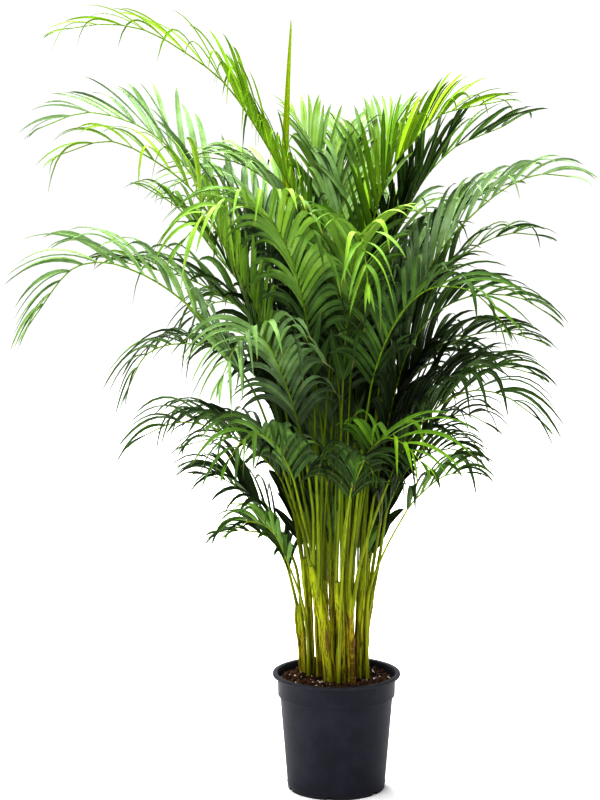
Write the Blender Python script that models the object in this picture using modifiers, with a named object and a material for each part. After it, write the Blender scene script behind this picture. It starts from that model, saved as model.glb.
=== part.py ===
"""Areca palm in a 24 cm nursery pot.

Metres, Z up. The origin is the centre of the pot's underside; the pot stands on z = 0.
-Y is the front of the plant. The pot and the soil are turned solids, each cane is a ringed
tube, and each frond is one closed solid: petiole, rachis and two rows of leaflets.
"""
import math
import random

import bmesh
import bpy
from mathutils import Vector
from mathutils.bvhtree import BVHTree
from mathutils.kdtree import KDTree

UP = Vector((0.0, 0.0, 1.0))

# Pot
POT_SIDES = 48
FLOOR = 0.0028
POT_PROFILE = [
    (0.0895, 0.0000),
    (0.0915, 0.0020),
    (0.0920, 0.0098),
    (0.0928, 0.0104),
    (0.0929, 0.0118),
    (0.0922, 0.0126),
    (0.1060, 0.1780),
    (0.1104, 0.1800),
    (0.1112, 0.2148),
    (0.1130, 0.2168),
    (0.1188, 0.2158),
    (0.1200, 0.2174),
    (0.1200, 0.2204),
    (0.1188, 0.2220),
    (0.1124, 0.2220),
    (0.1102, 0.2200),
    (0.1088, 0.2140),
    (0.1080, 0.1822),
    (0.1036, 0.1790),
    (0.0892, FLOOR),
]
NOTCHES = 6
NOTCH_TURN = math.radians(-100.0)
NOTCH_FOOT = 0.018
NOTCH_HEAD = 0.013
NOTCH_HIGH = 0.0055
NOTCH_REACH = (0.0845, 0.0965)

# Soil
SOIL_SIDES = 32
SOIL_TOP = 0.2120
SOIL_PROFILE = [
    (0.0884, FLOOR + 0.0004),
    (0.1029, 0.1788),
    (0.1074, 0.1826),
    (0.1082, 0.2095),
    (0.1000, 0.2112),
    (0.0900, SOIL_TOP),
]

# Canes: name, foot (x, y), head (x, y, z), radius
SEAT = 0.0003
CANE_ENDS = 0.002
CANE_BEVEL = 2
CANE_RING = 0.024
HEAD_RADIUS = 0.0074
CANES = {
    "c01": ((-0.060, 0.045), (-0.065, 0.048, 0.285), 0.0058),
    "c02": ((-0.047, 0.026), (-0.056, 0.022, 0.380), 0.0060),
    "c03": ((-0.048, 0.064), (-0.055, 0.085, 0.360), 0.0050),
    "c04": ((-0.030, 0.008), (-0.040, 0.000, 0.400), 0.0052),
    "c05": ((-0.012, -0.035), (-0.035, -0.042, 0.380), 0.0068),
    "c06": ((0.010, -0.036), (0.004, -0.045, 0.350), 0.0050),
    "c07": ((0.018, -0.014), (0.014, -0.012, 0.400), 0.0055),
    "c08": ((0.030, -0.038), (0.024, -0.040, 0.350), 0.0055),
    "c09": ((0.040, -0.014), (0.046, -0.018, 0.370), 0.0055),
    "c10": ((0.052, 0.004), (0.061, 0.006, 0.340), 0.0050),
    "c11": ((-0.006, 0.022), (-0.010, 0.028, 0.410), 0.0060),
    "c12": ((0.022, 0.026), (0.028, 0.036, 0.400), 0.0060),
    "c13": ((0.040, 0.044), (0.052, 0.060, 0.370), 0.0058),
    "c14": ((-0.020, 0.054), (-0.022, 0.072, 0.380), 0.0058),
}
STUB = ((0.000, -0.030), (0.001, -0.031, 0.262), 0.0035)

# Finishes: colour, roughness
FINISHES = {
    "black_plastic": ((0.030, 0.031, 0.038), 0.42),
    "potting_soil": ((0.055, 0.030, 0.018), 0.95),
    "cane_bark": ((0.300, 0.220, 0.060), 0.60),
    "dead_stub": ((0.100, 0.055, 0.030), 0.85),
    "leaf_green": ((0.100, 0.260, 0.030), 0.45),
    "new_leaf": ((0.330, 0.500, 0.060), 0.45),
}

# Fronds: where each starts (a cane or a place on the soil), its centreline, the knot its leaflets
# start from, its longest leaflet and the habit of its leaflets.
FRONDS = [
    ("c05", [(-.028, -.048, .60), (-.015, -.055, .80), (-.010, -.060, .88), (-.030, -.065, .985),
             (-.060, -.075, 1.08), (-.122, -.090, 1.203), (-.200, -.100, 1.325), (-.277, -.110, 1.392),
             (-.343, -.115, 1.434), (-.411, -.118, 1.452), (-.478, -.120, 1.452)], 3, 0.252, "sleek"),
    ("c11", [(-.030, .030, .70), (-.070, .020, .95), (-.095, .010, 1.15), (-.093, .005, 1.25),
             (-.085, .000, 1.432)], 2, 0.0, "spear"),
    ("c14", [(-.050, .090, .60), (-.090, .110, .82), (-.135, .125, .97), (-.207, .150, 1.071),
             (-.257, .165, 1.122), (-.315, .180, 1.195), (-.384, .200, 1.241), (-.479, .220, 1.262),
             (-.560, .235, 1.235)], 1, 0.240, "upright"),
    ("c04", [(-.070, -.010, .60), (-.110, -.020, .78), (-.144, -.030, .90), (-.194, -.040, 1.00),
             (-.258, -.050, 1.12), (-.347, -.060, 1.19), (-.415, -.070, 1.215), (-.485, -.080, 1.195)],
     1, 0.240, "arching"),
    ("c02", [(-.090, .030, .60), (-.140, .045, .82), (-.183, .055, .95), (-.223, .060, 1.00),
             (-.260, .065, 1.05), (-.300, .070, 1.092), (-.350, .075, 1.122)], 1, 0.216, "arching"),
    ("c04", [(-.052, -.005, .45), (-.100, -.020, .61), (-.160, -.045, .77), (-.200, -.055, .828),
             (-.248, -.070, .886), (-.303, -.080, .930), (-.359, -.090, .958), (-.422, -.095, .970),
             (-.480, -.100, .949), (-.550, -.100, .850)], 3, 0.240, "arching"),
    ("c02", [(-.075, .030, .55), (-.100, .040, .70), (-.162, .060, .785), (-.225, .080, .823),
             (-.306, .100, .830), (-.360, .110, .808), (-.390, .115, .755)], 1, 0.192, "drooping"),
    ("c03", [(-.070, .100, .60), (-.100, .120, .79), (-.152, .140, .87), (-.204, .155, .908),
             (-.288, .170, .950), (-.373, .185, .970), (-.435, .190, .985)], 1, 0.216, "arching"),
    ("c02", [(-.064, .018, .45), (-.100, .010, .58), (-.150, .000, .64), (-.240, -.010, .69),
             (-.300, -.015, .697), (-.355, -.020, .674)], 1, 0.230, "loose"),
    ("c03", [(-.062, .092, .46), (-.092, .110, .54), (-.132, .130, .61), (-.173, .150, .640),
             (-.225, .165, .642), (-.275, .180, .628)], 1, 0.210, "loose"),
    ("c01", [(-.072, .050, .40), (-.111, .060, .48), (-.157, .070, .532), (-.203, .080, .570),
             (-.243, .085, .582)], 1, 0.250, "loose"),
    ((-.052, .006), [(-.058, .000, .33), (-.090, -.010, .43), (-.120, -.020, .495),
                     (-.160, -.030, .515), (-.190, -.035, .500)], 1, 0.160, "loose"),
    ("c01", [(-.078, .062, .34), (-.090, .070, .40), (-.112, .080, .445), (-.145, .090, .470),
             (-.220, .110, .468)], 1, 0.150, "loose"),
    ("c08", [(.050, -.045, .60), (.085, -.050, .76), (.118, -.055, .855), (.176, -.065, 1.005),
             (.274, -.080, 1.113), (.350, -.090, 1.155), (.410, -.095, 1.153)], 1, 0.240, "arching"),
    ("c13", [(.070, .070, .60), (.100, .075, .76), (.123, .080, .842), (.174, .090, .922),
             (.226, .100, .988), (.278, .110, 1.022), (.330, .115, 1.038), (.378, .120, 1.034)],
     0, 0.204, "arching"),
    ("c12", [(.040, .050, .65), (.060, .070, .85), (.083, .085, .973), (.105, .100, 1.023),
             (.162, .120, 1.135), (.220, .140, 1.196), (.262, .150, 1.216), (.315, .160, 1.237),
             (.348, .168, 1.256)], 1, 0.228, "upright"),
    ("c07", [(.020, -.010, .65), (.030, -.010, .85), (.050, -.010, 1.00), (.090, -.015, 1.15),
             (.125, -.020, 1.200), (.188, -.030, 1.262), (.228, -.035, 1.273), (.295, -.045, 1.286)],
     1, 0.216, "upright"),
    ("c09", [(.060, -.010, .60), (.080, .000, .78), (.100, .010, .90), (.155, .020, 1.00),
             (.211, .030, 1.068), (.272, .035, 1.118), (.313, .040, 1.133)], 1, 0.216, "arching"),
    ("c09", [(.075, -.030, .60), (.118, -.040, .805), (.163, -.050, .890), (.217, -.060, .928),
             (.275, -.070, .940), (.333, -.075, .932), (.372, -.080, .910)], 0, 0.204, "arching"),
    ("c13", [(.078, .072, .58), (.112, .085, .708), (.175, .100, .805), (.249, .120, .842),
             (.314, .135, .850), (.382, .150, .832)], 0, 0.192, "arching"),
    ("c10", [(.080, .010, .50), (.100, .015, .65), (.170, .020, .748), (.241, .025, .787),
             (.302, .030, .797), (.360, .035, .783)], 0, 0.220, "arching"),
    ("c08", [(.045, -.050, .45), (.108, -.060, .63), (.176, -.075, .73), (.243, -.085, .766),
             (.301, -.095, .758), (.349, -.100, .726)], 1, 0.250, "loose"),
    ("c13", [(.074, .082, .47), (.103, .100, .565), (.155, .120, .642), (.207, .140, .680),
             (.260, .150, .688), (.290, .158, .670)], 1, 0.210, "loose"),
    ("c10", [(.082, .000, .45), (.092, -.010, .53), (.130, -.015, .61), (.170, -.020, .640),
             (.210, -.025, .650), (.240, -.030, .645)], 1, 0.210, "loose"),
    ((.058, -.014), [(.056, -.015, .30), (.057, -.020, .38), (.080, -.030, .44), (.100, -.035, .485),
                     (.130, -.040, .54), (.160, -.045, .575), (.200, -.050, .605), (.240, -.055, .610)],
     4, 0.210, "loose"),
    ("c14", [(-.020, .090, .65), (-.010, .120, .85), (.000, .140, .99), (-.018, .160, 1.12),
             (-.050, .185, 1.21), (-.080, .220, 1.262)], 1, 0.204, "upright"),
    ("c12", [(.035, .060, .70), (.045, .090, .90), (.055, .120, 1.04), (.075, .150, 1.145),
             (.098, .180, 1.215), (.120, .215, 1.260)], 1, 0.204, "upright"),
    ("c05", [(-.045, -.060, .55), (-.070, -.090, .70), (-.100, -.130, .80), (-.130, -.190, .87),
             (-.160, -.250, .885), (-.180, -.300, .870), (-.200, -.350, .825)], 1, 0.192, "drooping"),
    ("c06", [(.010, -.060, .48), (.025, -.100, .58), (.050, -.160, .66), (.080, -.220, .70),
             (.110, -.280, .70), (.140, -.330, .675)], 2, 0.200, "arching"),
    ((.003, -.052), [(.006, -.057, .33), (.012, -.070, .46), (.022, -.100, .57), (.035, -.150, .640),
                     (.050, -.200, .655), (.060, -.250, .640)], 2, 0.180, "drooping"),
    ("c06", [(.005, -.060, .60), (.010, -.090, .80), (.020, -.140, .95), (.030, -.200, 1.03),
             (.035, -.270, 1.06), (.040, -.330, 1.04), (.045, -.375, .985)], 1, 0.216, "arching"),
    ("c05", [(-.038, -.065, .60), (-.050, -.100, .85), (-.080, -.150, 1.00), (-.120, -.200, 1.08),
             (-.170, -.250, 1.11), (-.220, -.290, 1.10), (-.265, -.320, 1.055)], 1, 0.216, "drooping"),
    ("c08", [(.040, -.070, .60), (.060, -.110, .78), (.100, -.170, .90), (.150, -.220, .96),
             (.200, -.260, .970), (.240, -.290, .955), (.275, -.315, .915)], 1, 0.204, "arching"),
    ("c04", [(-.058, -.030, .50), (-.080, -.070, .60), (-.110, -.120, .67), (-.140, -.170, .70),
             (-.170, -.220, .695), (-.195, -.265, .665)], 1, 0.180, "drooping"),
    ("c14", [(-.030, .100, .55), (-.040, .160, .75), (-.060, .220, .90), (-.080, .280, .97),
             (-.100, .340, .985), (-.120, .410, .950)], 1, 0.216, "arching"),
    ("c11", [(-.010, .050, .70), (.000, .080, .95), (.010, .130, 1.10), (.015, .190, 1.19),
             (.020, .260, 1.23), (.025, .350, 1.23)], 0, 0.228, "arching"),
    ("c12", [(.040, .070, .60), (.060, .120, .80), (.090, .180, .95), (.120, .240, 1.04),
             (.150, .300, 1.07), (.190, .365, 1.05)], 1, 0.216, "arching"),
    ("c03", [(-.070, .120, .55), (-.100, .170, .72), (-.140, .220, .83), (-.180, .270, .88),
             (-.230, .310, .89), (-.285, .345, .855)], 1, 0.192, "drooping"),
    ("c13", [(.070, .100, .52), (.100, .150, .66), (.140, .200, .75), (.180, .250, .79),
             (.230, .290, .80), (.275, .325, .77)], 1, 0.192, "drooping"),
    ("c11", [(-.020, .060, .60), (-.050, .110, .85), (-.100, .160, 1.00), (-.150, .200, 1.09),
             (-.200, .250, 1.13), (-.260, .290, 1.14), (-.325, .325, 1.115)], 1, 0.216, "arching"),
    ("c14", [(-.020, .110, .48), (-.010, .150, .58), (.010, .200, .65), (.030, .250, .68),
             (.050, .300, .68), (.070, .345, .65)], 1, 0.168, "drooping"),
    ("c07", [(.010, .000, .60), (.000, .010, .80), (-.030, .020, .95), (-.070, .035, 1.06),
             (-.120, .050, 1.13), (-.180, .070, 1.17), (-.235, .080, 1.18)], 1, 0.216, "arching"),
]

PETIOLE = 0.0028
TIP = 0.0010
SPEAR = 0.0062
SEAM = 0.0045
LEAF_FOOT = 0.007
LEAF_STEP = 0.028
LOOSE_STEP = 0.034
LEAF_WIDE = 0.0118
LEAF_THICK = 0.0014
PAIRS = (7, 16)
BARE_STEP = 0.085

# Habits: spread from the rachis at the first and last leaflet, lift above the frond, droop of the tip
HABITS = {
    "sleek": (34.0, 18.0, 24.0, 0.08),
    "upright": (44.0, 22.0, 40.0, 0.05),
    "arching": (46.0, 22.0, 26.0, 0.20),
    "drooping": (52.0, 26.0, 12.0, 0.40),
    "loose": (44.0, 20.0, 16.0, 0.34),
}
# Other ways to hold a leaflet when its place is taken: change of lift, change of spread, length
TRIES = [
    (0, 0, 1.0), (9, 0, 1.0), (-9, 0, 1.0), (0, 8, 0.97), (0, -6, 0.97), (16, 5, 0.93),
    (-16, 5, 0.93), (22, -5, 0.88), (-22, -5, 0.88), (0, 0, 0.78), (12, 10, 0.75), (-12, 10, 0.75),
    (28, 0, 0.68), (-28, 0, 0.68), (0, 0, 0.58), (14, 0, 0.5), (-14, 0, 0.5), (0, 0, 0.4),
    (24, 0, 0.35), (-24, 0, 0.35), (0, 0, 0.26),
]

# Keeping centrelines apart
GRAIN = 0.005
SWEEPS = 45
SPACE = 0.0024
SMOOTH = 9


def clear_file():
    for item in list(bpy.data.objects):
        bpy.data.objects.remove(item)


def new_collection(name):
    collection = bpy.data.collections.new(name)
    bpy.context.scene.collection.children.link(collection)
    return collection


def finish(name):
    """The finish of that name, made once."""
    if name in bpy.data.materials:
        return bpy.data.materials[name]
    colour, roughness = FINISHES[name]
    material = bpy.data.materials.new(name)
    material.use_nodes = True
    shader = material.node_tree.nodes["Principled BSDF"]
    shader.inputs["Base Color"].default_value = (*colour, 1.0)
    shader.inputs["Roughness"].default_value = roughness
    shader.inputs["Metallic"].default_value = 0.0
    return material


def add_object(name, data, surface, collection, place=(0.0, 0.0, 0.0)):
    item = bpy.data.objects.new(name, data)
    item.location = place
    if surface:
        data.materials.append(finish(surface))
    collection.objects.link(item)
    return item


def turned(name, profile, sides, surface, collection):
    """A solid turned round Z from a profile that starts and ends on the axis."""
    mesh = bpy.data.meshes.new(name)
    points = [(radius, 0.0, height) for radius, height in profile]
    mesh.from_pydata(points, [(at, at + 1) for at in range(len(points) - 1)], [])
    item = add_object(name, mesh, surface, collection)
    screw = item.modifiers.new("turn", "SCREW")
    screw.angle = math.tau
    screw.steps = sides
    screw.render_steps = sides
    screw.use_merge_vertices = True
    screw.merge_threshold = 0.0001
    screw.use_smooth_shade = True
    return item


def notch_cutter(turn, cutters):
    """A wedge as wide as one drainage notch, standing through the pot's bottom edge."""
    work = bmesh.new()
    bmesh.ops.create_cube(work, size=1.0)
    near, far = NOTCH_REACH
    for corner in work.verts:
        wide = NOTCH_HEAD if corner.co.z > 0.0 else NOTCH_FOOT
        corner.co.x = far if corner.co.x > 0.0 else near
        corner.co.y = math.copysign(wide / 2, corner.co.y)
        corner.co.z = NOTCH_HIGH if corner.co.z > 0.0 else -NOTCH_HIGH
    mesh = bpy.data.meshes.new("notch")
    work.to_mesh(mesh)
    work.free()
    cutter = add_object("notch", mesh, None, cutters)
    cutter.rotation_euler.z = turn
    cutter.hide_render = True
    cutter.display_type = "WIRE"


def make_pot(plant, cutters):
    """Floor, tapered wall, collar and rolled lip, with drainage notches round the bottom edge."""
    profile = [(0.0, FLOOR)] + list(reversed(POT_PROFILE)) + [(0.0, 0.0)]
    pot = turned("nursery_pot", profile, POT_SIDES, "black_plastic", plant)
    for count in range(NOTCHES):
        notch_cutter(NOTCH_TURN + math.tau * count / NOTCHES, cutters)
    cut = pot.modifiers.new("notches", "BOOLEAN")
    cut.operation = "DIFFERENCE"
    cut.solver = "EXACT"
    cut.operand_type = "COLLECTION"
    cut.collection = cutters


def make_soil(plant):
    profile = [(0.0, SOIL_TOP)] + list(reversed(SOIL_PROFILE)) + [(0.0, SOIL_PROFILE[0][1])]
    turned("soil", profile, SOIL_SIDES, "potting_soil", plant)


def cane_line(foot, head):
    """The cane's centre from soil to head: upright at both ends, leaning in between."""
    start = Vector((foot[0], foot[1], SOIL_TOP + SEAT))
    end = Vector(head)
    count = max(3, round((end.z - start.z) / CANE_RING))
    line = []
    for step in range(count + 1):
        part = step / count
        line.append(Vector((
            start.x + (end.x - start.x) * part ** 1.4,
            start.y + (end.y - start.y) * part ** 1.4,
            start.z + (end.z - start.z) * part,
        )))
    line[-1] = end - UP * CANE_ENDS
    return [start, start + UP * CANE_ENDS] + line[1:] + [end]


def cane_radii(count, radius, head):
    """A cane swells a little at every other ring and, at the top, round the foot of its fronds."""
    radii = []
    for step in range(count):
        part = step / (count - 1)
        swell = 1.08 if step % 2 == 0 else 0.94
        crown = max(0.0, part - 0.5) * 2.0
        radii.append(radius * swell * (1.0 - crown) + head * crown)
    return radii


def make_cane(name, foot, head, radius, crown, surface, plant):
    """One cane: a round bar along its centre line, thicker and thinner from ring to ring."""
    line = cane_line(foot, head)
    radii = cane_radii(len(line), radius, crown)
    curve = bpy.data.curves.new(name, "CURVE")
    curve.dimensions = "3D"
    curve.bevel_depth = 1.0
    curve.bevel_resolution = CANE_BEVEL
    curve.use_fill_caps = True
    spline = curve.splines.new("POLY")
    spline.points.add(len(line) - 1)
    for point, centre, size in zip(spline.points, line, radii):
        point.co = (*(centre - line[0]), 1.0)
        point.radius = size
    add_object(name, curve, surface, plant, line[0])
    return line, radii


def smooth_curve(knots):
    """Points GRAIN apart along a smooth curve through the knots."""
    times = [0.0]
    for one, two in zip(knots, knots[1:]):
        times.append(times[-1] + (two - one).length)
    slopes = []
    for at in range(len(knots)):
        low = max(at - 1, 0)
        high = min(at + 1, len(knots) - 1)
        slopes.append((knots[high] - knots[low]) / (times[high] - times[low]))
    points = [knots[0].copy()]
    for at in range(len(knots) - 1):
        span = times[at + 1] - times[at]
        count = max(2, round(span / GRAIN))
        for step in range(1, count + 1):
            t = step / count
            points.append(
                knots[at] * (2 * t ** 3 - 3 * t ** 2 + 1)
                + slopes[at] * span * (t ** 3 - 2 * t ** 2 + t)
                + knots[at + 1] * (3 * t ** 2 - 2 * t ** 3)
                + slopes[at + 1] * span * (t ** 3 - t ** 2)
            )
    return points


def lengths(points):
    run = [0.0]
    for one, two in zip(points, points[1:]):
        run.append(run[-1] + (two - one).length)
    return run


def tangent(points, at):
    low = max(at - 2, 0)
    high = min(at + 2, len(points) - 1)
    return (points[high] - points[low]).normalized()


def frond_radius(part, habit):
    """Half the thickness of the frond's axis at a part of its length."""
    if habit == "spear":
        swell = math.sin(math.pi * min(1.0, max(0.0, (part - 0.45) / 0.55))) ** 0.8
        return PETIOLE * (1.0 - part) + TIP * part + (SPEAR - 0.002) * swell
    return PETIOLE + (TIP - PETIOLE) * part ** 1.3


def start_points(canes):
    """Where each frond leaves its cane: side by side round the head, facing the way it grows."""
    shared = {}
    for index, row in enumerate(FRONDS):
        if isinstance(row[0], str):
            shared.setdefault(row[0], []).append(index)
    starts = {}
    for index, row in enumerate(FRONDS):
        if not isinstance(row[0], str):
            starts[index] = Vector((row[0][0], row[0][1], SOIL_TOP + SEAT))
    for cane, members in shared.items():
        head = canes[cane][-1]
        facing = []
        for index in members:
            aim = Vector(FRONDS[index][1][2]) - head
            facing.append((math.atan2(aim.y, aim.x), index))
        facing.sort()
        pitch = math.tau / len(members)
        mean_x = sum(math.cos(a - pitch * n) for n, (a, _) in enumerate(facing))
        mean_y = sum(math.sin(a - pitch * n) for n, (a, _) in enumerate(facing))
        first = math.atan2(mean_y, mean_x)
        for n, (_, index) in enumerate(facing):
            angle = first + pitch * n
            side = Vector((math.cos(angle), math.sin(angle), 0.0))
            starts[index] = head + side * SEAM + UP * SEAT
    return starts


def frond_lines(canes):
    starts = start_points(canes)
    lines = []
    for index, row in enumerate(FRONDS):
        start = starts[index]
        first = Vector(row[1][0])
        rise = start + (first - start) * 0.3
        rise.x = start.x + (first.x - start.x) * 0.15
        rise.y = start.y + (first.y - start.y) * 0.15
        lines.append(smooth_curve([start, rise] + [Vector(p) for p in row[1]]))
    return lines


def spread_push(displacement):
    """The same displacement shared with the points near it along the line."""
    count = len(displacement)
    shared = []
    for at in range(count):
        total = Vector((0.0, 0.0, 0.0))
        weight = 0.0
        for other in range(max(0, at - SMOOTH), min(count, at + SMOOTH + 1)):
            share = 1.0 - abs(other - at) / (SMOOTH + 1)
            total += displacement[other] * share
            weight += share
        shared.append(total / weight * min(1.0, at / 7.0))
    return shared


def push_between(one, two, way, other_way, want, order):
    """How far to move the first point off the second so their lines pass clear of each other."""
    gap = one - two
    normal = way.cross(other_way)
    if normal.length > 0.25:
        normal.normalize()
        height = gap.dot(normal)
        if abs(height) < 1e-5:
            height = 1e-5 if order else -1e-5
        if abs(height) >= want:
            return Vector((0.0, 0.0, 0.0))
        return normal * math.copysign(want - abs(height), height)
    flat = gap - way * gap.dot(way)
    if flat.length < 1e-6 or flat.length >= want:
        return Vector((0.0, 0.0, 0.0))
    return flat.normalized() * (want - flat.length)


def keep_apart(lines, cane_lines):
    """Move the frond lines sideways, a little at a time, until none runs through another."""
    fixed = []
    for line, radii in cane_lines:
        dense = smooth_curve(line)
        for at, point in enumerate(dense):
            part = at / (len(dense) - 1) * (len(radii) - 1)
            size = radii[min(int(part + 0.5), len(radii) - 1)]
            fixed.append((point, tangent(dense, at), size))
    for _ in range(SWEEPS):
        samples = []
        for owner, line in enumerate(lines):
            for at, point in enumerate(line):
                radius = frond_radius(at / (len(line) - 1), FRONDS[owner][4])
                samples.append((owner, point, tangent(line, at), radius))
        for point, way, size in fixed:
            samples.append((-1, point, way, size))
        tree = KDTree(len(samples))
        for key, sample in enumerate(samples):
            tree.insert(sample[1], key)
        tree.balance()
        moved = 0
        cursor = 0
        for owner, line in enumerate(lines):
            pushes = []
            for at in range(len(line)):
                _, point, way, radius = samples[cursor + at]
                total = Vector((0.0, 0.0, 0.0))
                found = 0
                for _, key, _ in tree.find_range(point, 0.016):
                    other, place, other_way, other_radius = samples[key]
                    if other == owner:
                        continue
                    want = radius + other_radius + SPACE
                    if (place - point).length > want + GRAIN:
                        continue
                    push = push_between(point, place, way, other_way, want, owner > other)
                    if push.length > 0.0:
                        total += push * (1.0 if other < 0 else 0.6)
                        found += 1
                if found:
                    moved += 1
                    pushes.append(total / found)
                else:
                    pushes.append(total)
            shared = spread_push(pushes)
            cursor += len(line)
            for at in range(len(line)):
                step = shared[at] * 1.6
                if line[at].z + step.z < SOIL_TOP + 0.01 and at > 3:
                    step.z = 0.0
                line[at] = line[at] + step
        if not moved:
            break
    return moved


class Frame:
    """A place on a frond's axis: its centre, the way it grows, its side and its upper face."""

    def __init__(self, line, run, side, distance):
        at = 0
        while at < len(run) - 2 and run[at + 1] < distance:
            at += 1
        part = (distance - run[at]) / max(run[at + 1] - run[at], 1e-9)
        self.centre = line[at].lerp(line[at + 1], part)
        self.way = tangent(line, at + 1 if part > 0.5 else at)
        self.side = (side - self.way * side.dot(self.way)).normalized()
        self.top = self.side.cross(self.way).normalized()

    def stand_level(self, side):
        """The foot of a frond is cut level, to sit flat on its cane or on the soil."""
        self.way = UP.copy()
        self.side = side.copy()
        self.top = side.cross(UP).normalized()


def frond_side(line):
    aim = line[-1] - line[0]
    aim.z = 0.0
    return Vector((aim.y, -aim.x, 0.0)).normalized()


def ring_points(frame, radius):
    """The axis is three-sided: a ridge on top and a corner low on the left and on the right."""
    return [
        frame.centre + frame.top * radius,
        frame.centre - frame.side * radius * 0.95 - frame.top * radius * 0.6,
        frame.centre + frame.side * radius * 0.95 - frame.top * radius * 0.6,
    ]


def stations(total, leafy, habit):
    """Distances along the axis where it has a ring, and which gaps between rings carry leaflets."""
    bare = max(2, round(leafy / BARE_STEP))
    marks = [leafy * n / bare for n in range(bare)]
    leaf_gaps = []
    if habit == "spear":
        count = 6
        marks += [leafy + (total - leafy) * n / count for n in range(count)]
        return marks, leaf_gaps
    end = total - 0.012
    step = LOOSE_STEP if habit == "loose" else LEAF_STEP
    pairs = min(PAIRS[1], max(PAIRS[0], round((end - leafy) / step)))
    pitch = (end - leafy) / pairs
    for pair in range(pairs):
        near = leafy + pitch * pair
        leaf_gaps.append(len(marks))
        marks += [near, near + LEAF_FOOT]
    return marks, leaf_gaps


def leaflet(frame, foot, part, side, longest, habit, chance, change):
    """The middle section and the tip of one leaflet held off the axis."""
    first, last, lift, droop = HABITS[habit]
    more_lift, more_spread, scale = change
    spread = math.radians(first + (last - first) * part + more_spread + chance[0])
    raise_by = math.radians(lift * (1.0 - 0.35 * part) + more_lift + chance[1])
    size = longest * scale * chance[2] * (0.62 + 0.38 * math.sin(math.pi * (0.12 + 0.72 * part)))
    size *= 1.0 - 0.42 * max(0.0, part - 0.55) / 0.45
    out = frame.side * side * math.cos(raise_by) + frame.top * math.sin(raise_by)
    way = (frame.way * math.cos(spread) + out * math.sin(spread)).normalized()
    middle = foot + way * size * 0.42 + UP * size * (0.03 + 0.10 * droop)
    tip = foot + way * size - UP * size * droop
    wide = frame.way - way * frame.way.dot(way)
    wide.normalize()
    thick = wide.cross(way) * side
    if thick.dot(frame.top) < 0.0:
        thick = -thick
    return middle, tip, wide, thick


def leaflet_shape(corners, middle, tip, wide, thick, width, extra):
    """Corners and triangles of one leaflet: foot, widest section, point."""
    half = width / 2 + extra
    deep = LEAF_THICK / 2 + extra
    verts = list(corners) + [
        middle - wide * half + thick * deep,
        middle - wide * half - thick * deep,
        middle + wide * half - thick * deep,
        middle + wide * half + thick * deep,
        tip,
    ]
    faces = []
    for edge in range(4):
        after = (edge + 1) % 4
        faces += [(edge, after, 4 + after), (edge, 4 + after, 4 + edge), (4 + edge, 4 + after, 8)]
    return verts, faces


def bounds_of(points, margin):
    low = [min(p[axis] for p in points) - margin for axis in range(3)]
    high = [max(p[axis] for p in points) + margin for axis in range(3)]
    return low, high


def boxes_meet(one, two):
    return all(one[0][axis] <= two[1][axis] and two[0][axis] <= one[1][axis] for axis in range(3))


def free(verts, faces, taken, owner):
    """True when the leaflet cuts through nothing that is already in place."""
    box = bounds_of(verts, 0.0)
    tree = None
    for place_box, place_tree, place_owner in taken:
        if (owner is not None and place_owner == owner) or not boxes_meet(box, place_box):
            continue
        if tree is None:
            tree = BVHTree.FromPolygons(verts, faces)
        if tree.overlap(place_tree):
            return False
    return True


def pull(work, face, places):
    """Extrude a face and carry each of its corners from its old place to its new one."""
    moved = bmesh.ops.extrude_discrete_faces(work, faces=[face])["faces"][0]
    for corner in moved.verts:
        start = corner.co.copy()
        corner.co = min(places, key=lambda pair: (pair[0] - start).length)[1]
    return moved


def draw_to_point(work, face, point):
    """Raise the middle of a face to a point."""
    made = bmesh.ops.poke(work, faces=[face])
    made["verts"][0].co = point


def axis_of(index, line):
    """One frond's axis as a mesh: the frames along it, and the side faces that carry leaflets."""
    row = FRONDS[index]
    run = lengths(line)
    total = run[-1]
    knot = Vector(row[1][row[2]])
    nearest = min(range(len(line)), key=lambda at: (line[at] - knot).length)
    marks, leaf_gaps = stations(total, run[nearest], row[4])
    side = frond_side(line)
    frames = [Frame(line, run, side, mark) for mark in marks]
    frames[0].stand_level(side)
    rings = [ring_points(f, frond_radius(m / total, row[4])) for f, m in zip(frames, marks)]
    work = bmesh.new()
    first = bmesh.ops.create_circle(work, cap_ends=True, segments=3, radius=1.0)["verts"]
    for corner, place in zip(first, rings[0]):
        corner.co = place
    face = first[0].link_faces[0]
    seats = []
    for gap in range(len(rings) - 1):
        face = pull(work, face, list(zip(rings[gap], rings[gap + 1])))
        if gap in leaf_gaps:
            around = [f for edge in face.edges for f in edge.link_faces if f is not face]
            seats.append((frames[gap], {
                way: max(around, key=lambda f: frames[gap].side.dot(f.calc_center_median()) * way)
                for way in (-1, 1)
            }))
    draw_to_point(work, face, line[-1])
    bmesh.ops.holes_fill(work, edges=[edge for edge in work.edges if edge.is_boundary], sides=3)
    return work, seats


def chances(rng):
    return (rng.uniform(-4.0, 4.0), rng.uniform(-7.0, 7.0), rng.uniform(0.88, 1.04))


def seat_corners(face, frame):
    """Corners of a side face in order: ridge and edge at the near ring, edge and ridge at the far."""
    by_way = sorted(face.verts, key=lambda v: (v.co - frame.centre).dot(frame.way))
    near = sorted(by_way[:2], key=lambda v: (v.co - frame.centre).dot(frame.top))
    far = sorted(by_way[2:], key=lambda v: (v.co - frame.centre).dot(frame.top))
    return [near[1].co.copy(), near[0].co.copy(), far[0].co.copy(), far[1].co.copy()]


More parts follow.
